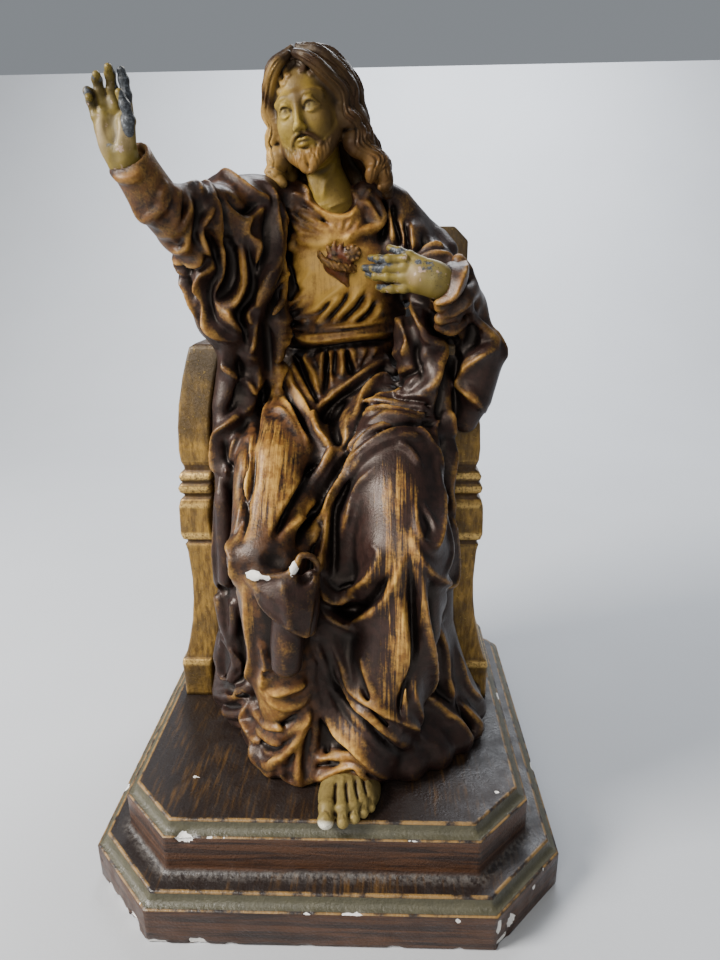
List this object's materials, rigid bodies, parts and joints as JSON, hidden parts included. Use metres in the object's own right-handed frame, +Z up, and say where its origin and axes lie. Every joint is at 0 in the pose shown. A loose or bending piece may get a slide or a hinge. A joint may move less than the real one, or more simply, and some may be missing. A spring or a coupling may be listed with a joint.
{
  "type": "sacred heart statue",
  "caption": "Seated robed figure with one hand raised and one at the heart, on a curved throne and a stepped plinth, in antiqued painted plaster.",
  "frame": {"origin": "centre of the plinth's underside", "axes": "+Z up, -Y the way the figure faces, +X to the viewer's right"},
  "size_m": [0.23, 0.23, 0.395],
  "materials": {
    "plinth_paint": "brown wood-grained paint on cast plaster, satin varnish, white where chipped",
    "antique_gilt": "dull antique gold on cast plaster, darker in the hollows",
    "painted_plaster": "dark brown and ochre patina on cast plaster, rubbed ochre on the folds, satin varnish",
    "hand_paint": "olive yellow flesh paint on soft metal, worn to blue grey metal on the fingers"
  },
  "bodies": {
    "root": {"plinth": "plinth_paint", "throne": "antique_gilt", "figure": "painted_plaster", "right_hand": "hand_paint", "left_hand": "hand_paint"}
  },
  "joints": []
}
